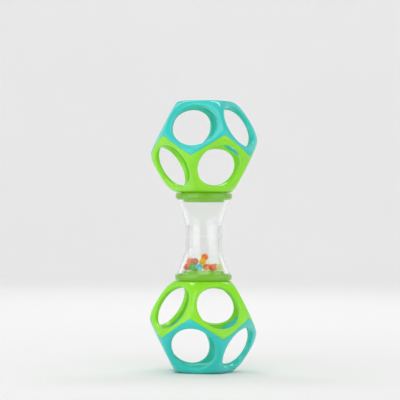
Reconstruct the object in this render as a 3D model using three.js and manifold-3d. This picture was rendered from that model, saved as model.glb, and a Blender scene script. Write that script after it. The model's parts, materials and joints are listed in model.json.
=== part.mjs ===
// A baby rattle: a clear hourglass tube of loose beads between two open-work balls.
// Millimetres, +Z up along the rattle, origin at the centre of the bottom flat.
import * as THREE from "three";
import { mergeVertices } from "three/addons/utils/BufferGeometryUtils.js";
import Module from "manifold-3d";

const wasm = await Module();
wasm.setup();

// Each ball is a sphere with twelve flats, and a round hole through every flat.
const BALL_R = 26.75; // outer sphere
const BALL_FLAT = 22.8; // ball centre to each flat
const BALL_WALL = 2.4;
const HOLE_R = 11.4;
const FACE_SPIN = -14; // degrees from the front (-Y) to the nearest outer side hole, towards +X
const SEAM_GAP = 0.35; // between the two halves of a ball, measured along Z

// The tube runs from ball flat to ball flat, and is the same at both ends.
const TUBE_LENGTH = 43.8;
const TUBE_WALL = 1.6;
const WAIST_R = 9.1;
const SHOULDER_R = 13.6; // outside, just under the flange
const FLANGE_R = 14.2;
const FLANGE_THICK = 2.9;
const FLARE_END = 16.2; // where the flare meets the straight waist, from the ball flat
const FLARE_POWER = 1.4; // 1 would be a straight cone; more opens like a trumpet

// A plug closes each end of the tube: its collar fills the flange, its boss reaches on into the tube,
// and its rim holds the ball on from inside.
const PLUG_R = 10.2;
const PLUG_DEPTH = 4.6; // from the ball flat to the face the beads lie on
const PLUG_COLLAR_DEPTH = 2.6;
const PLUG_NECK_R = 11.0; // where it passes through the ball's end hole
const PLUG_RIM_R = 12.2;
const PLUG_RIM_THICK = 0.8;
const PLUG_FLOOR = 1.8;
const PLUG_BORE_R = 8.6;

const FIT_GAP = 0.3; // between pieces that are bonded or pressed together
const EDGE_R = 0.5; // bevel on the turned pieces' outer edges
const WELD_GAP = 1e-4; // vertices closer than this are one

const BEAD_R = 1.75;

const ROUND_STEPS = 48; // sides of the turned pieces
const HOLE_SIDES = 30;
const SPHERE_DETAIL = 4;
const FLARE_STEPS = 6;
const BEAD_DETAIL = 3;

const MID_Z = 2 * BALL_FLAT + TUBE_LENGTH / 2;
const BALL_Z = TUBE_LENGTH / 2 + BALL_FLAT; // ball centre above the tube's middle
const DEGREE = Math.PI / 180;
// A dodecahedron standing on a flat, for a flat distance of 1: its corners lie on four rings.
const END_RING_R = 3 - Math.sqrt(5);
const SIDE_RING_R = 2 / ((1 + Math.sqrt(5)) / 2);
const SIDE_RING_Z = Math.sqrt(5) - 2;

const TURQUOISE = { color: 0x45cfc4, roughness: 0.42, metalness: 0 };
const LIME = { color: 0x8ce81f, roughness: 0.42, metalness: 0 };
const PLUG_GREEN = { color: 0x84dc1e, roughness: 0.4, metalness: 0 };
const CLEAR = { color: 0xf1f4f0, roughness: 0.05, metalness: 0, transparent: true, opacity: 0.3 };

// Each bead: its place at rest beside the tube's axis, and how far it lies above the lowest layer.
const BEADS = [
  { name: "bead_01", color: 0xf0561e, x: -8.2, y: -0.8, lift: 0 },
  { name: "bead_02", color: 0xf58a1f, x: -6.9, y: 1.3, lift: 2.9 },
  { name: "bead_03", color: 0xc4502a, x: -4.2, y: -3.1, lift: 2.9 },
  { name: "bead_04", color: 0xf2c21a, x: -0.6, y: -3.3, lift: 2.9 },
  { name: "bead_05", color: 0xf4701c, x: 0.6, y: -0.5, lift: 5.0 },
  { name: "bead_06", color: 0x2f9e35, x: -5.4, y: -5.3, lift: 0 },
  { name: "bead_07", color: 0x35b8dc, x: -2.1, y: -7.9, lift: 0 },
  { name: "bead_08", color: 0xe0701c, x: 1.2, y: -4.6, lift: 0 },
  { name: "bead_09", color: 0xf0501c, x: 4.5, y: -6.7, lift: 0 },
  { name: "bead_10", color: 0xdfe08a, x: 7.8, y: -1.7, lift: 0 },
  { name: "bead_11", color: 0x37a83c, x: 6.1, y: 3.1, lift: 0 },
  { name: "bead_12", color: 0xf2b81c, x: 3.0, y: 6.5, lift: 0 },
  { name: "bead_13", color: 0x37a83c, x: -4.2, y: 6.7, lift: 0 },
  { name: "bead_14", color: 0xf0561e, x: -3.7, y: -0.9, lift: 0 },
  { name: "bead_15", color: 0xf2c21a, x: -5.5, y: 3.0, lift: 0 },
  { name: "bead_16", color: 0xf58a1f, x: -0.4, y: 2.7, lift: 2.9 },
];

// Manifold-3d solid from a three.js geometry, and back.
function toSolid(geometry) {
  const bare = geometry.clone();
  bare.deleteAttribute("normal");
  bare.deleteAttribute("uv");
  const merged = mergeVertices(bare, WELD_GAP);
  return new wasm.Manifold(
    new wasm.Mesh({
      numProp: 3,
      vertProperties: merged.attributes.position.array,
      triVerts: new Uint32Array(merged.index.array),
    }),
  );
}

function toGeometry(solid) {
  const mesh = solid.getMesh();
  const geometry = new THREE.BufferGeometry();
  geometry.setAttribute("position", new THREE.BufferAttribute(mesh.vertProperties, 3));
  geometry.setIndex(new THREE.BufferAttribute(mesh.triVerts, 1));
  geometry.computeVertexNormals();
  return geometry;
}

function makeMesh(name, geometry, look) {
  const mesh = new THREE.Mesh(geometry, new THREE.MeshStandardMaterial(look));
  mesh.name = name;
  return mesh;
}

// A point at a radius, an azimuth in degrees from the front towards +X, and a height.
function ringPoint(radius, azimuth, z) {
  return new THREE.Vector3(
    radius * Math.sin(azimuth * DEGREE),
    -radius * Math.cos(azimuth * DEGREE),
    z,
  );
}

// Outward directions of the twelve flats: one up, five above the equator, five below, one down.
function flatDirections() {
  const tilt = Math.atan(0.5);
  const directions = [new THREE.Vector3(0, 0, 1), new THREE.Vector3(0, 0, -1)];
  for (let k = 0; k < 5; k++) {
    const azimuth = FACE_SPIN + 72 * k;
    directions.push(ringPoint(Math.cos(tilt), azimuth, Math.sin(tilt)));
    directions.push(ringPoint(Math.cos(tilt), azimuth + 36, -Math.sin(tilt)));
  }
  return directions;
}

// A closed solid from its corners and its outward-facing polygons.
function polyhedron(corners, polygons) {
  const triangles = polygons.flatMap((polygon) =>
    polygon.slice(2).flatMap((corner, i) => [polygon[0], polygon[i + 1], corner]),
  );
  const geometry = new THREE.BufferGeometry().setFromPoints(corners);
  geometry.setIndex(triangles);
  return toSolid(geometry);
}

// The dodecahedron's corners: ends of the top flat, then the rings above and below the equator,
// then the ends of the bottom flat.
function dodecahedronCorners(flat) {
  const ring = (radius, turn, z) =>
    [0, 1, 2, 3, 4].map((k) => ringPoint(radius * flat, FACE_SPIN + turn + 72 * k, z * flat));
  return [
    ...ring(END_RING_R, 36, 1),
    ...ring(SIDE_RING_R, 36, SIDE_RING_Z),
    ...ring(SIDE_RING_R, 0, -SIDE_RING_Z),
    ...ring(END_RING_R, 0, -1),
  ];
}

const FIVE = [0, 1, 2, 3, 4];
const before = (k) => (k + 4) % 5;

function dodecahedron(flat) {
  const polygons = [
    FIVE,
    ...FIVE.map((k) => [10 + k, 5 + k, k, before(k), 5 + before(k)]),
  ];
  for (const k of FIVE) {
    const next = (k + 1) % 5;
    polygons.push([5 + k, 10 + k, 15 + k, 15 + next, 10 + next]);
  }
  polygons.push([19, 18, 17, 16, 15]);
  return polyhedron(dodecahedronCorners(flat), polygons);
}

// The space of the six outer flats of a ball: it meets the rest in a zigzag through the centre.
function outerRegion(lift) {
  const corners = [...dodecahedronCorners(2 * BALL_FLAT).slice(0, 15), new THREE.Vector3()];
  corners.forEach((corner) => (corner.z += lift));
  const polygons = [FIVE];
  for (const k of FIVE) {
    polygons.push([10 + k, 5 + k, k, before(k), 5 + before(k)]);
    polygons.push([15, 5 + k, 10 + k]);
    polygons.push([15, 10 + k, 5 + before(k)]);
  }
  return polyhedron(corners, polygons);
}

// A ball with its outer flat up, centred on the origin, as one solid.
function wholeBall() {
  const bounded = (radius, flat) =>
    toSolid(new THREE.IcosahedronGeometry(radius, SPHERE_DETAIL)).intersect(dodecahedron(flat));
  const cavity = bounded(BALL_R - BALL_WALL, BALL_FLAT - BALL_WALL);
  let ball = bounded(BALL_R, BALL_FLAT).subtract(cavity);
  const up = new THREE.Vector3(0, 1, 0);
  for (const direction of flatDirections()) {
    const hole = new THREE.CylinderGeometry(HOLE_R, HOLE_R, BALL_FLAT, HOLE_SIDES);
    hole.translate(0, BALL_FLAT, 0);
    hole.applyQuaternion(new THREE.Quaternion().setFromUnitVectors(up, direction));
    ball = ball.subtract(toSolid(hole));
  }
  return ball;
}

// A solid turned about Z from a closed profile of [radius, z] points.
function turned(profile, sides) {
  const points = profile.map(([radius, z]) => new THREE.Vector2(radius, z));
  points.push(points[0].clone());
  const geometry = new THREE.LatheGeometry(points, sides);
  geometry.rotateX(Math.PI / 2);
  return toGeometry(toSolid(geometry));
}

// Outer radius of the tube's flare: it leaves the straight waist and opens ever wider to the shoulder.
function flareRadius(fromFlat) {
  const share = (FLARE_END - fromFlat) / (FLARE_END - FLANGE_THICK);
  return THREE.MathUtils.lerp(WAIST_R, SHOULDER_R, share ** FLARE_POWER);
}

// The flare's section from the waist to the flange: [outer radius, height above the tube's middle].
function flarePoints() {
  const points = [];
  for (let i = 0; i <= FLARE_STEPS; i++) {
    const fromFlat = THREE.MathUtils.lerp(FLARE_END, FLANGE_THICK, i / FLARE_STEPS);
    points.push([flareRadius(fromFlat), TUBE_LENGTH / 2 - fromFlat]);
  }
  return points;
}

// The upper half of the tube's section, from the middle up: [radius, height above the middle].
function tubeHalfOuter() {
  const end = TUBE_LENGTH / 2;
  const points = flarePoints();
  points.push([FLANGE_R - EDGE_R, end - FLANGE_THICK]);
  points.push([FLANGE_R, end - FLANGE_THICK + EDGE_R]);
  points.push([FLANGE_R, end - FIT_GAP - EDGE_R]);
  points.push([FLANGE_R - EDGE_R, end - FIT_GAP]);
  return points;
}

// The bore follows the flare at one wall thickness, then runs straight through the flange.
function tubeHalfInner() {
  const bore = flarePoints().map(([radius, z]) => [radius - TUBE_WALL, z]).reverse();
  return [[SHOULDER_R - TUBE_WALL, TUBE_LENGTH / 2 - FIT_GAP], ...bore];
}

function tube() {
  const mirrored = (points) => points.map(([radius, z]) => [radius, -z]).reverse();
  const outer = tubeHalfOuter();
  const inner = tubeHalfInner();
  return turned([...mirrored(outer), ...outer, ...inner, ...mirrored(inner)], ROUND_STEPS);
}

// The plug above the tube's middle: a cup that opens into the ball.
function plug() {
  const flat = TUBE_LENGTH / 2;
  const face = flat - PLUG_DEPTH;
  const rim = flat + BALL_WALL + FIT_GAP;
  const collar = SHOULDER_R - TUBE_WALL - FIT_GAP;
  return turned(
    [
      [0, face],
      [PLUG_R - EDGE_R, face],
      [PLUG_R, face + EDGE_R],
      [PLUG_R, flat - PLUG_COLLAR_DEPTH],
      [collar, flat - PLUG_COLLAR_DEPTH],
      [collar, flat - FIT_GAP],
      [PLUG_NECK_R, flat - FIT_GAP],
      [PLUG_NECK_R, rim],
      [PLUG_RIM_R, rim],
      [PLUG_RIM_R, rim + PLUG_RIM_THICK - EDGE_R],
      [PLUG_RIM_R - EDGE_R, rim + PLUG_RIM_THICK],
      [PLUG_BORE_R, rim + PLUG_RIM_THICK],
      [PLUG_BORE_R, face + PLUG_FLOOR],
      [0, face + PLUG_FLOOR],
    ],
    ROUND_STEPS,
  );
}

const rattle = new THREE.Group();
const ball = wholeBall();
const outerHalf = toGeometry(ball.intersect(outerRegion(SEAM_GAP / 2)));
const innerHalf = toGeometry(ball.subtract(outerRegion(-SEAM_GAP / 2)));
const plugShape = plug();

// Both ends are alike and face away from the tube, so the lower one is the upper one mirrored.
for (const [end, side] of [["upper", 1], ["lower", -1]]) {
  const half = new THREE.Group();
  half.position.z = MID_Z;
  half.scale.z = side;
  const outer = makeMesh(`${end}_ball_outer_half`, outerHalf, TURQUOISE);
  const inner = makeMesh(`${end}_ball_inner_half`, innerHalf, LIME);
  outer.position.z = BALL_Z;
  inner.position.z = BALL_Z;
  half.add(outer, inner, makeMesh(`${end}_end_plug`, plugShape, PLUG_GREEN));
  rattle.add(half);
}

const chamber = makeMesh("clear_tube", tube(), CLEAR);
chamber.position.z = MID_Z;
rattle.add(chamber);

const beadShape = toGeometry(toSolid(new THREE.IcosahedronGeometry(BEAD_R, BEAD_DETAIL)));
const lowestLayer = 2 * BALL_FLAT + PLUG_DEPTH + BEAD_R + FIT_GAP / 2;
for (const { name, color, x, y, lift } of BEADS) {
  const bead = makeMesh(name, beadShape, { color, roughness: 0.3, metalness: 0 });
  bead.position.set(x, y, lowestLayer + lift);
  rattle.add(bead);
}

export default rattle;
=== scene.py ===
"""A baby rattle: two open-work balls on a clear hourglass tube of loose beads."""

import json
import math
import random

import bmesh
import bpy
from mathutils import Matrix, Quaternion, Vector

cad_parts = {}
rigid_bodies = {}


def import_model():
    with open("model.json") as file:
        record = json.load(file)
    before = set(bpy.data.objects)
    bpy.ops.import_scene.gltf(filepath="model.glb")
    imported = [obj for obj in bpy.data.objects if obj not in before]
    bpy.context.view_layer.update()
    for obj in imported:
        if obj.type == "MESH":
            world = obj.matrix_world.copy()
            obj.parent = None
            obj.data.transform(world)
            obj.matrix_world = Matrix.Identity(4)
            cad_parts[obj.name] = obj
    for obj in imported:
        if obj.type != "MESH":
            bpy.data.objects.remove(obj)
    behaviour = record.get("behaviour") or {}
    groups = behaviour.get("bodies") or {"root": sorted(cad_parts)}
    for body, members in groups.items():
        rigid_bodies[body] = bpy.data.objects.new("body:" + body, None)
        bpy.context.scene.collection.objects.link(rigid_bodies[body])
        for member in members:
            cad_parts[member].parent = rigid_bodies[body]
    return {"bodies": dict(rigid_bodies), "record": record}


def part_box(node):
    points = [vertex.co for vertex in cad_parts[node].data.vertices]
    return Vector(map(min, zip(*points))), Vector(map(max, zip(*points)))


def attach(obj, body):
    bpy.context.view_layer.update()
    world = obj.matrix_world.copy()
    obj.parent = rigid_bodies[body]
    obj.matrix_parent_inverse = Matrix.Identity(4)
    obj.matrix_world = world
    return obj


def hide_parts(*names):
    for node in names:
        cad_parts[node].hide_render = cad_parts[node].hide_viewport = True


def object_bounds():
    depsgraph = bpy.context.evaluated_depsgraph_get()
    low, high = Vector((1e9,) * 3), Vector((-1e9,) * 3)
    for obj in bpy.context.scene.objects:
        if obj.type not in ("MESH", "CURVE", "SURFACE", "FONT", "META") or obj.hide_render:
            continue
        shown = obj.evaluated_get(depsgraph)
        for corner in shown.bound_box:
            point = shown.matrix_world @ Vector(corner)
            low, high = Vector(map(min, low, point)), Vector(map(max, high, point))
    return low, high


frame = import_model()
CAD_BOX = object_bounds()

MM = 0.001

# Ball shells, in millimetres: a softened sphere-and-dodecahedron shell with a hole through each flat.
BALL_R = 27.0  # sphere, a little over the finished one because the softening pulls it in
BALL_WALL = 2.4
HOLE_R = 11.2
FACE_SPIN = -14.0  # degrees from the front to the nearest outer side hole, towards +X
SOFTNESS = 55  # power of the blend between flats and sphere: higher is crisper
LIP_REACH = 0.95  # how far the rounded lip of a hole runs out over the flat
LIP_DEPTH = 0.8
INNER_LIP_REACH = 0.5
INNER_LIP_DEPTH = 0.5
EDGE_COLUMNS = 16  # mesh columns along each edge of a pentagon
SKIN_SHARES = (0.0, 0.08, 0.22, 0.38, 0.54, 0.7, 0.86, 1.0)  # mesh rows from a pentagon's edge to the lip
LIP_STEPS = 8
SEAM_GAP = 0.05
SEAM_BEVEL = 0.07
SEAM_ANGLE = 1.0  # radians: only the seam's edges are sharper
BISECTOR = math.acos(1 / math.sqrt(5)) / 2  # half the angle between neighbouring flats' directions
NEIGHBOUR_COSINES = (0.3, 0.6)  # neighbouring flats' directions are within these, and no others
SKIN_ANGLES = (0.2, 0.75)  # every hole's edge is between these angles from its flat's direction
HALVINGS = 40
SLOPE_ROUNDS = 4
SLOPE_STEP = 1e-4
WELD = 1e-3  # vertices closer than this are one

# Tube and plugs, in millimetres. They are measured from the ball flat that the tube stands on.
TUBE_WALL = 1.6
WAIST_R = 9.1
SHOULDER_R = 13.6
FLANGE_R = 14.2
FLANGE_THICK = 2.9
FLARE_END = 16.2
FLARE_POWER = 1.4
FLANGE_ROOT_FILLET = 0.25
FLANGE_EDGE_FILLET = 0.28
FLANGE_END_FILLET = 0.6
MOUTH_FILLET = 0.35
MOUTH_R = SHOULDER_R - TUBE_WALL
PARTING_LINE = 0.05  # height of the raised line round the waist, where the mould's halves met
PLUG_R = 10.2
PLUG_DEPTH = 4.6
PLUG_COLLAR_DEPTH = 2.6
PLUG_NECK_R = 11.0
PLUG_RIM_R = 12.2
PLUG_RIM_THICK = 0.8
BOND = 0.03  # how far the plug's collar sinks into the tube's bore, where the two are welded
COLLAR_BEVEL = 0.4
PLUG_FLOOR = 1.8
PLUG_BORE_R = 8.6
FIT_GAP = 0.3
ROUND_STEPS = 112
FLARE_STEPS = 28
FILLET_STEPS = 5
ON_AXIS = 1e-6  # a smaller radius is a point on the axis

# Beads, in millimetres, with widths in radians.
BEAD_RINGS = 24
BEAD_SIDES = 36
PARTING_RIDGE = 0.025
RIDGE_WIDTH = 0.05
GATE_DIMPLE = 0.12
DIMPLE_WIDTH = 0.22

# Heights above the floor in millimetres, from the CAD boxes.
BASE_Z = CAD_BOX[0][2] / MM
TOP_Z = CAD_BOX[1][2] / MM
BALL_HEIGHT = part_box("clear_tube")[0].z / MM - FIT_GAP - BASE_Z
BALL_FLAT = BALL_HEIGHT / 2
MID_Z = (BASE_Z + TOP_Z) / 2
HALF_TUBE = MID_Z - BASE_Z - BALL_HEIGHT


# ---------------------------------------------------------------- mesh helpers
def add_object(name, bm, material, body, node):
    """A smooth mesh object from a bmesh in millimetres, riding on its body in place of its CAD node."""
    bmesh.ops.recalc_face_normals(bm, faces=bm.faces)
    bmesh.ops.scale(bm, vec=(MM, MM, MM), verts=bm.verts)
    mesh = bpy.data.meshes.new(name)
    bm.to_mesh(mesh)
    bm.free()
    mesh.polygons.foreach_set("use_smooth", [True] * len(mesh.polygons))
    mesh.materials.append(material)
    piece = bpy.data.objects.new(name, mesh)
    bpy.context.scene.collection.objects.link(piece)
    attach(piece, body)
    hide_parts(node)


def filleted(corners):
    """A profile through (radius, z, fillet radius) corners, with each corner rounded by an arc."""
    points = []
    count = len(corners)
    for i, (x, z, fillet) in enumerate(corners):
        here = Vector((x, z))
        if fillet <= 0 or i in (0, count - 1):
            points.append(here)
            continue
        back = (Vector(corners[i - 1][:2]) - here).normalized()
        ahead = (Vector(corners[i + 1][:2]) - here).normalized()
        half = math.acos(max(-1, min(1, back.dot(ahead)))) / 2
        reach = fillet / math.tan(half)
        centre = here + (back + ahead).normalized() * (fillet / math.sin(half))
        start = here + back * reach - centre
        end = here + ahead * reach - centre
        turn = start.angle_signed(end)
        for k in range(FILLET_STEPS + 1):
            angle = -turn * k / FILLET_STEPS
            points.append(centre + Matrix.Rotation(angle, 2) @ start)
    return points


def turned(points, steps=ROUND_STEPS, closed=False):
    """A bmesh turned about Z from a profile of (radius, z) points."""
    bm = bmesh.new()
    angles = [2 * math.pi * k / steps for k in range(steps)]
    rings = []
    for radius, z in points:
        if radius < ON_AXIS:
            rings.append([bm.verts.new((0, 0, z))])
            continue
        rings.append([bm.verts.new((radius * math.cos(a), radius * math.sin(a), z)) for a in angles])
    pairs = list(zip(rings, rings[1:]))
    if closed:
        pairs.append((rings[-1], rings[0]))
    for low, high in pairs:
        for k in range(steps):
            n = (k + 1) % steps
            if len(low) == 1:
                bm.faces.new((low[0], high[k], high[n]))
            elif len(high) == 1:
                bm.faces.new((low[k], high[0], low[n]))
            else:
                bm.faces.new((low[k], high[k], high[n], low[n]))
    return bm


# ---------------------------------------------------------------- ball shells
def shell_radius(alpha, theta, inset):
    """Distance from a ball's centre to its skin, alpha away from a flat's direction and theta round it."""
    flat = BALL_FLAT - inset
    total = (math.cos(alpha) / flat) ** SOFTNESS + (1 / (BALL_R - inset)) ** SOFTNESS
    for k in range(5):
        beside = math.cos(alpha) * math.cos(2 * BISECTOR)
        beside += math.sin(alpha) * math.sin(2 * BISECTOR) * math.cos(theta - 2 * math.pi * k / 5)
        if beside > 0:
            total += (beside / flat) ** SOFTNESS
    return total ** (-1 / SOFTNESS)


def skin_point(alpha, theta, inset):
    """(distance from the flat's axis, height along it) of the skin."""
    radius = shell_radius(alpha, theta, inset)
    return Vector((radius * math.sin(alpha), radius * math.cos(alpha)))


def alpha_at(rho, theta, inset):
    """The angle at which the skin is rho from the flat's axis, by halving the range that holds it."""
    low, high = SKIN_ANGLES
    for _ in range(HALVINGS):
        middle = (low + high) / 2
        if skin_point(middle, theta, inset).x < rho:
            low = middle
        else:
            high = middle
    return low


def lip_start(theta, inset, reach, depth):
    """Where the skin gives way to the rounded lip of the hole, and the skin's slope there."""
    slope = 0.0
    for _ in range(SLOPE_ROUNDS):
        rho = HOLE_R + reach * math.cos(slope) + depth * math.sin(slope)
        alpha = alpha_at(rho, theta, inset)
        step = skin_point(alpha + SLOPE_STEP, theta, inset) - skin_point(alpha - SLOPE_STEP, theta, inset)
        slope = math.atan2(-step.y, step.x)
    return alpha, slope


def skin_and_lip(theta, boundary, inset, reach, depth):
    """The section of one skin from the pentagon's edge to the hole. Depth is negative on the inner skin."""
    alpha, slope = lip_start(theta, inset, reach, depth)
    points = [skin_point(boundary + (alpha - boundary) * share, theta, inset) for share in SKIN_SHARES]
    normal = Vector((math.sin(slope), math.cos(slope)))
    along = Vector((math.cos(slope), -math.sin(slope)))
    centre = points[-1] - normal * depth
    for k in range(1, LIP_STEPS + 1):
        angle = math.pi / 2 * k / LIP_STEPS
        points.append(centre + normal * depth * math.cos(angle) - along * reach * math.sin(angle))
    return points


def ring_column(theta):
    """The section of a flat's ring at one angle, along its outer skin and back along its inner skin."""
    beside = (theta + math.pi / 5) % (2 * math.pi / 5) - math.pi / 5
    boundary = math.atan(math.tan(BISECTOR) / math.cos(beside))
    outer = skin_and_lip(theta, boundary, 0.0, LIP_REACH, LIP_DEPTH)
    inner = skin_and_lip(theta, boundary, BALL_WALL, INNER_LIP_REACH, -INNER_LIP_DEPTH)
    return outer + inner[::-1]


COLUMN_ANGLE = math.radians(72 / EDGE_COLUMNS)
THETAS = [COLUMN_ANGLE * (j - EDGE_COLUMNS / 2) for j in range(5 * EDGE_COLUMNS)]
COLUMNS = [ring_column(theta) for theta in THETAS]


def flat_directions(up):
    """Directions of a ball's outer six and inner six flats. up is 1 if the outer end is up, or -1."""
    tilt = math.atan(0.5)

    def direction(azimuth, height):
        turn = math.radians(azimuth)
        flat = math.cos(tilt)
        return Vector((flat * math.sin(turn), -flat * math.cos(turn), up * height * math.sin(tilt)))

    outer = [Vector((0, 0, up))] + [direction(FACE_SPIN + 72 * k, 1) for k in range(5)]
    inner = [Vector((0, 0, -up))] + [direction(FACE_SPIN + 36 + 72 * k, -1) for k in range(5)]
    return {"outer": outer, "inner": inner}


def shell_half(half, up):
    """One coloured half of a ball, as a bmesh round the ball's centre."""
    groups = flat_directions(up)
    mine = groups[half]
    everything = groups["outer"] + groups["inner"]
    least, most = NEIGHBOUR_COSINES
    bm = bmesh.new()
    for normal in mine:
        neighbours = [d for d in everything if least < d.dot(normal) < most]
        first = (neighbours[0] - normal * neighbours[0].dot(normal)).normalized()
        second = normal.cross(first)
        grid = []
        for theta, column in zip(THETAS, COLUMNS):
            across = first * math.cos(theta) + second * math.sin(theta)
            grid.append([bm.verts.new(across * p.x + normal * p.y) for p in column])
        for j, a in enumerate(grid):
            b = grid[(j + 1) % len(grid)]
            for i in range(len(a) - 1):
                bm.faces.new((a[i], a[i + 1], b[i + 1], b[i]))
            middle = THETAS[j] + COLUMN_ANGLE / 2
            across = first * math.cos(middle) + second * math.sin(middle)
            beyond = max(neighbours, key=lambda d: d.dot(across))
            if beyond not in mine:
                bm.faces.new((a[-1], a[0], b[0], b[-1]))
    bmesh.ops.remove_doubles(bm, verts=bm.verts, dist=WELD)
    bmesh.ops.recalc_face_normals(bm, faces=bm.faces)
    seam_edges = [e for e in bm.edges if len(e.link_faces) == 2 and e.calc_face_angle() > SEAM_ANGLE]
    bmesh.ops.bevel(bm, geom=seam_edges, offset=SEAM_BEVEL, segments=2, profile=0.5, affect="EDGES")
    apart = SEAM_GAP / 2 * up * (1 if half == "outer" else -1)
    bmesh.ops.translate(bm, vec=(0, 0, apart), verts=bm.verts)
    return bm


# ---------------------------------------------------------------- tube, plugs and beads
def flare_radius(from_flat):
    """Outer radius of the tube's flare, which opens ever wider from the waist to the shoulder."""
    share = max(0.0, (FLARE_END - from_flat) / (FLARE_END - FLANGE_THICK))
    return WAIST_R + (SHOULDER_R - WAIST_R) * share**FLARE_POWER


def tube_mesh():
    """The clear tube about its middle: flanges, flares and a waist with a fine parting line."""
    end = HALF_TUBE
    flare = []
    for i in range(FLARE_STEPS + 1):
        from_flat = FLARE_END + (FLANGE_THICK - FLARE_END) * i / FLARE_STEPS
        flare.append((flare_radius(from_flat), end - from_flat))
    corners = [
        (*flare[-2], 0),
        (*flare[-1], FLANGE_ROOT_FILLET),
        (FLANGE_R, end - FLANGE_THICK, FLANGE_EDGE_FILLET),
        (FLANGE_R, end - FIT_GAP, FLANGE_END_FILLET),
        (MOUTH_R, end - FIT_GAP, MOUTH_FILLET),
        (MOUTH_R, end - FLANGE_THICK, 0),
    ]
    line = PARTING_LINE
    waist = [(WAIST_R + line, line), (WAIST_R, 3 * line), (WAIST_R, 5 * line)]
    outer = waist + flare[:-2] + filleted(corners)
    inner = [(radius - TUBE_WALL, z) for radius, z in reversed(flare[:-1])]
    upper = outer + inner
    lower = [(radius, -z) for radius, z in reversed(upper)]
    # The waist joins the two halves: outside between the first points, inside between the last.
    return turned(lower[len(inner) :] + upper + lower[: len(inner)], closed=True)


def plug_mesh(up):
    """A plug about the tube's middle: a cup that opens into its ball. up is 1 for the upper one, or -1."""
    flat = HALF_TUBE
    face = flat - PLUG_DEPTH
    rim = flat + BALL_WALL + FIT_GAP
    top = rim + PLUG_RIM_THICK
    collar = flat - PLUG_COLLAR_DEPTH
    corners = [
        (0, face, 0),
        (PLUG_R, face, 0.6),
        (PLUG_R, collar, 0.3),
        (MOUTH_R + BOND, collar, 0.2),
        (MOUTH_R + BOND, flat - FIT_GAP - COLLAR_BEVEL, 0.1),
        (PLUG_NECK_R, flat - FIT_GAP, 0.1),
        (PLUG_NECK_R, rim, 0.1),
        (PLUG_RIM_R, rim, 0.2),
        (PLUG_RIM_R, top, 0.4),
        (PLUG_BORE_R, top, 0.6),
        (PLUG_BORE_R, face + PLUG_FLOOR, 1.0),
        (0, face + PLUG_FLOOR, 0),
    ]
    bm = turned(filleted(corners))
    if up < 0:
        bmesh.ops.scale(bm, vec=(1, 1, -1), verts=bm.verts)
    return bm


def bead_mesh(radius, turn):
    """A moulded bead: a ball with a faint ridge on its parting line and a gate dimple at one pole."""
    profile = []
    body = radius - PARTING_RIDGE
    for k in range(BEAD_RINGS + 1):
        angle = math.pi * (k / BEAD_RINGS - 0.5)
        ridge = PARTING_RIDGE * math.exp(-((angle / RIDGE_WIDTH) ** 2))
        dimple = GATE_DIMPLE * math.exp(-(((math.pi / 2 - angle) / DIMPLE_WIDTH) ** 2))
        reach = body + ridge - dimple
        across = 0 if k in (0, BEAD_RINGS) else reach * math.cos(angle)
        profile.append((across, reach * math.sin(angle)))
    bm = turned(profile, BEAD_SIDES)
    bmesh.ops.rotate(bm, matrix=turn.to_matrix(), verts=bm.verts)
    return bm


# ---------------------------------------------------------------- materials
def srgb(red, green, blue):
    """Linear colour from 8-bit sRGB values."""

    def linear(value):
        value /= 255
        return value / 12.92 if value <= 0.04045 else ((value + 0.055) / 1.055) ** 2.4

    return (linear(red), linear(green), linear(blue), 1.0)


def new_material(name):
    """A material, its node tree and its shader."""
    material = bpy.data.materials.new(name)
    material.use_nodes = True
    return material, material.node_tree, material.node_tree.nodes["Principled BSDF"]


def noise(tree, scale, detail=3.0):
    """A noise texture in object space, with about scale spots to a metre."""
    place = tree.nodes.new("ShaderNodeTexCoord")
    texture = tree.nodes.new("ShaderNodeTexNoise")
    texture.inputs["Scale"].default_value = scale
    texture.inputs["Detail"].default_value = detail
    tree.links.new(place.outputs["Object"], texture.inputs["Vector"])
    return texture.outputs["Fac"]


NOISE_LOW, NOISE_HIGH = 0.3, 0.7  # nearly all of a noise texture's values are between these


def mapped(tree, value, low, high):
    """A noise value spread over low to high."""
    node = tree.nodes.new("ShaderNodeMapRange")
    node.inputs["From Min"].default_value = NOISE_LOW
    node.inputs["From Max"].default_value = NOISE_HIGH
    node.inputs["To Min"].default_value = low
    node.inputs["To Max"].default_value = high
    tree.links.new(value, node.inputs["Value"])
    return node.outputs["Result"]


def mixed(tree, value, one, other):
    """A colour that goes from one to the other with the value."""
    node = tree.nodes.new("ShaderNodeMix")
    node.data_type = "RGBA"
    node.inputs[6].default_value = one
    node.inputs[7].default_value = other
    tree.links.new(value, node.inputs[0])
    return node.outputs[2]


def bumped(tree, shader, value, strength, distance):
    """Bump on a shader from a value, up to distance metres high."""
    node = tree.nodes.new("ShaderNodeBump")
    node.inputs["Strength"].default_value = strength
    node.inputs["Distance"].default_value = distance
    tree.links.new(value, node.inputs["Height"])
    tree.links.new(node.outputs["Normal"], shader.inputs["Normal"])


# Scales of the patterns, in spots to a metre.
CLOUD_SCALE = 90
SATIN_SCALE = 260
GRAIN_SCALE = 2600
TINT_SCALE = 60
SMEAR_SCALE = 400
WAVE_SCALE = 120
FLOOR_PATCH_SCALE = 2


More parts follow.
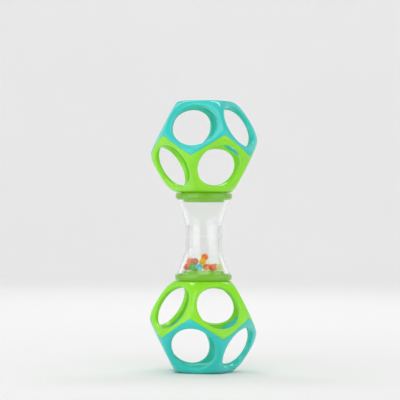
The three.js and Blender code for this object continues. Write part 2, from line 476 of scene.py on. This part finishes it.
def moulded_plastic(name, colour, shade, roughness, soft=0.0, coat=0.0, painted_glow=0.0):
    """Coloured moulded plastic: cloudy pigment, a fine moulded grain and an uneven satin, with an optional
    painted glow of its own colour that stands in for light.
    """
    material, tree, shader = new_material(name)
    cloud = mapped(tree, noise(tree, CLOUD_SCALE), 0.0, 1.0)
    satin = mapped(tree, noise(tree, SATIN_SCALE), roughness - 0.05, roughness + 0.06)
    grain = noise(tree, GRAIN_SCALE, detail=2.0)
    tree.links.new(mixed(tree, cloud, colour, shade), shader.inputs["Base Color"])
    tree.links.new(satin, shader.inputs["Roughness"])
    bumped(tree, shader, grain, strength=0.05, distance=0.00005)
    shader.inputs["IOR"].default_value = 1.48
    shader.inputs["Subsurface Weight"].default_value = soft
    shader.inputs["Subsurface Radius"].default_value = [channel + 0.2 for channel in colour[:3]]
    shader.inputs["Subsurface Scale"].default_value = 0.002
    shader.inputs["Coat Weight"].default_value = coat
    shader.inputs["Coat Roughness"].default_value = 0.06
    # Painted light: emission in the plastic's own colour makes up for light that the clear tube's wall
    # holds back.
    shader.inputs["Emission Color"].default_value = colour
    shader.inputs["Emission Strength"].default_value = painted_glow
    return material


def clear_plastic():
    """Clear moulded plastic, faintly wavy, with a very light tint."""
    material, tree, shader = new_material("clear_plastic")
    tint = mapped(tree, noise(tree, TINT_SCALE), 0.0, 1.0)
    smear = mapped(tree, noise(tree, SMEAR_SCALE), 0.0, 0.03)
    wave = noise(tree, WAVE_SCALE, detail=1.0)
    colour = mixed(tree, tint, (0.985, 0.99, 0.985, 1), (0.965, 0.98, 0.97, 1))
    tree.links.new(colour, shader.inputs["Base Color"])
    tree.links.new(smear, shader.inputs["Roughness"])
    bumped(tree, shader, wave, strength=0.08, distance=0.0003)
    shader.inputs["IOR"].default_value = 1.49
    shader.inputs["Specular IOR Level"].default_value = 0.35
    shader.inputs["Transmission Weight"].default_value = 1.0
    return material


TURQUOISE = moulded_plastic(
    "turquoise_shell", srgb(28, 210, 200), srgb(20, 200, 192), roughness=0.36, soft=0.12, coat=0.6
)
LIME = moulded_plastic(
    "lime_shell", srgb(148, 234, 0), srgb(134, 225, 0), roughness=0.36, soft=0.12, coat=0.6
)
# The plugs' glow is painted light: it brightens them as if more light came through the tube's wall.
PLUG_GREEN = moulded_plastic(
    "green_plug", srgb(154, 234, 0), srgb(142, 226, 0), roughness=0.4, soft=0.2, painted_glow=0.06
)
CLEAR = clear_plastic()
BEAD_SHADE = 0.9  # the darker of a bead's two colours, as a share of the lighter
BEAD_PAINTED_GLOW = 0.22  # painted light: a glow that makes up for the light lost in the tube's wall, as the plugs' painted glow does
BEAD_COLOURS = {
    "bead_orange_red": (255, 92, 0),
    "bead_orange": (255, 134, 0),
    "bead_red_brown": (206, 84, 16),
    "bead_yellow": (255, 208, 0),
    "bead_green": (30, 186, 20),
    "bead_blue": (22, 206, 214),
    "bead_pale_yellow": (236, 242, 140),
}
BEAD_FINISHES = {}


def bead_finish(slot):
    """The glossy bead plastic of a slot."""
    if slot not in BEAD_FINISHES:
        colour = srgb(*BEAD_COLOURS[slot])
        shade = tuple(channel * BEAD_SHADE for channel in colour[:3]) + (1.0,)
        BEAD_FINISHES[slot] = moulded_plastic(slot, colour, shade, roughness=0.3, painted_glow=BEAD_PAINTED_GLOW)
    return BEAD_FINISHES[slot]


# ---------------------------------------------------------------- the object
SHELL_LOOKS = {"outer": (TURQUOISE, "turquoise_shell"), "inner": (LIME, "lime_shell")}
for end, up in (("upper", 1), ("lower", -1)):
    centre = MID_Z + up * (HALF_TUBE + BALL_FLAT)
    for half, (material, slot) in SHELL_LOOKS.items():
        shell = shell_half(half, up)
        bmesh.ops.translate(shell, vec=(0, 0, centre), verts=shell.verts)
        add_object(f"{end}_{half}_shell", shell, material, "rattle", f"{end}_ball_{half}_half")
    plug = plug_mesh(up)
    bmesh.ops.translate(plug, vec=(0, 0, MID_Z), verts=plug.verts)
    add_object(f"{end}_plug", plug, PLUG_GREEN, "rattle", f"{end}_end_plug")

tube = tube_mesh()
bmesh.ops.translate(tube, vec=(0, 0, MID_Z), verts=tube.verts)
add_object("hourglass_tube", tube, CLEAR, "rattle", "clear_tube")

random.seed(7)  # each bead's parting ridge is turned its own way
for body in sorted(b for b in frame["bodies"] if b.startswith("bead_")):
    low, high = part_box(body)
    slot = next(s["material_slot"] for s in frame["record"]["subparts"] if s["node"] == body)
    turn = Quaternion([random.gauss(0, 1) for _ in range(4)]).normalized()
    bead = bead_mesh((high.x - low.x) / 2 / MM, turn)
    bmesh.ops.translate(bead, vec=(low + high) / 2 / MM, verts=bead.verts)
    add_object(f"{body}_ball", bead, bead_finish(slot), body, body)


# ---------------------------------------------------------------- stage, light and camera
def area_light(name, place, target, size, power):
    """A white panel of light that faces its target, with its power in watts."""
    data = bpy.data.lights.new(name, "AREA")
    data.shape = "RECTANGLE"
    data.size, data.size_y = size
    data.energy = power
    light = bpy.data.objects.new(name, data)
    light.location = place
    light.rotation_euler = (Vector(target) - Vector(place)).to_track_quat("-Z", "Y").to_euler()
    bpy.context.scene.collection.objects.link(light)


# Studio, in metres.
FLOOR_R = 1.2
FLOOR_MIDDLE_R = 0.3
COVE_R = 0.6
COVE_STEPS = 12
WALL_HEIGHT = 0.95
FLOOR_SIDES = 96


def studio_floor():
    """A pale round floor that curves up into a wall all round, so that no horizon shows."""
    profile = [(0, 0), (FLOOR_MIDDLE_R, 0), (FLOOR_R, 0)]
    for k in range(1, COVE_STEPS + 1):
        angle = math.radians(90 / COVE_STEPS * k)
        profile.append((FLOOR_R + COVE_R * math.sin(angle), COVE_R * (1 - math.cos(angle))))
    profile.append((FLOOR_R + COVE_R, WALL_HEIGHT))
    bm = turned(profile, FLOOR_SIDES)
    mesh = bpy.data.meshes.new("floor")
    bm.to_mesh(mesh)
    bm.free()
    mesh.polygons.foreach_set("use_smooth", [True] * len(mesh.polygons))
    material, tree, shader = new_material("pale_floor")
    patches = mapped(tree, noise(tree, FLOOR_PATCH_SCALE), 0.0, 1.0)
    colour = mixed(tree, patches, (0.87, 0.87, 0.87, 1), (0.89, 0.89, 0.89, 1))
    tree.links.new(colour, shader.inputs["Base Color"])
    shader.inputs["Roughness"].default_value = 0.9
    shader.inputs["Specular IOR Level"].default_value = 0.2
    mesh.materials.append(material)
    plane = bpy.data.objects.new("floor", mesh)
    bpy.context.scene.collection.objects.link(plane)


CAMERA_DISTANCE = 0.854  # from the middle of the rattle
CAMERA_LEFT = 0.00183
CAMERA_ABOVE = 0.01827
CAMERA_PITCH = math.radians(-0.705)
CAMERA_ROLL = math.radians(0.32)
SENSOR_WIDTH = 36  # millimetres
FOCAL_SHARE = 4.269  # focal length over sensor width
CLIP_END = 50


def camera():
    """A long lens a little above the middle of the rattle."""
    tilt = Matrix.Rotation(CAMERA_ROLL, 3, "Y") @ Matrix.Rotation(CAMERA_PITCH, 3, "X")
    data = bpy.data.cameras.new("camera")
    data.sensor_width = SENSOR_WIDTH
    data.lens = SENSOR_WIDTH * FOCAL_SHARE
    data.clip_end = CLIP_END
    eye = bpy.data.objects.new("camera", data)
    offset = Vector((-CAMERA_LEFT, -CAMERA_DISTANCE, CAMERA_ABOVE))
    place = Vector((0, 0, MID_Z * MM)) + tilt.transposed() @ offset
    turn = tilt.transposed() @ Matrix.Rotation(math.pi / 2, 3, "X")
    eye.matrix_world = Matrix.Translation(place) @ turn.to_4x4()
    bpy.context.scene.collection.objects.link(eye)
    bpy.context.scene.camera = eye


WORLD_STRENGTH = 0.27


def world():
    """Even white light from all round."""
    sky = bpy.data.worlds.new("studio")
    sky.use_nodes = True
    background = sky.node_tree.nodes["Background"]
    background.inputs["Color"].default_value = (1, 1, 1, 1)
    background.inputs["Strength"].default_value = WORLD_STRENGTH
    bpy.context.scene.world = sky


studio_floor()
camera()
world()
MIDDLE = (0, 0, MID_Z * MM)
BACKDROP = (0, FLOOR_R, 0)
area_light("left_softbox", place=(-0.62, -0.54, 0.2), target=MIDDLE, size=(0.8, 1.0), power=3.6)
area_light("right_softbox", place=(0.74, -0.36, 0.2), target=MIDDLE, size=(0.9, 1.0), power=3.1)
area_light("top_softbox", place=(0, -0.55, 0.85), target=MIDDLE, size=(0.8, 0.4), power=2.2)
area_light("left_rear_softbox", place=(-0.7, 0.75, 0.5), target=MIDDLE, size=(0.5, 0.5), power=0.2)
area_light("right_rear_softbox", place=(0.7, 0.75, 0.5), target=MIDDLE, size=(0.5, 0.5), power=0.2)
area_light("left_strip", place=(-0.8, 0.0, 0.36), target=MIDDLE, size=(0.035, 0.7), power=0.65)
area_light("backdrop_light", place=(0, 0.5, 1.2), target=BACKDROP, size=(1.6, 0.4), power=11)
bpy.context.scene.view_settings.view_transform = "Standard"
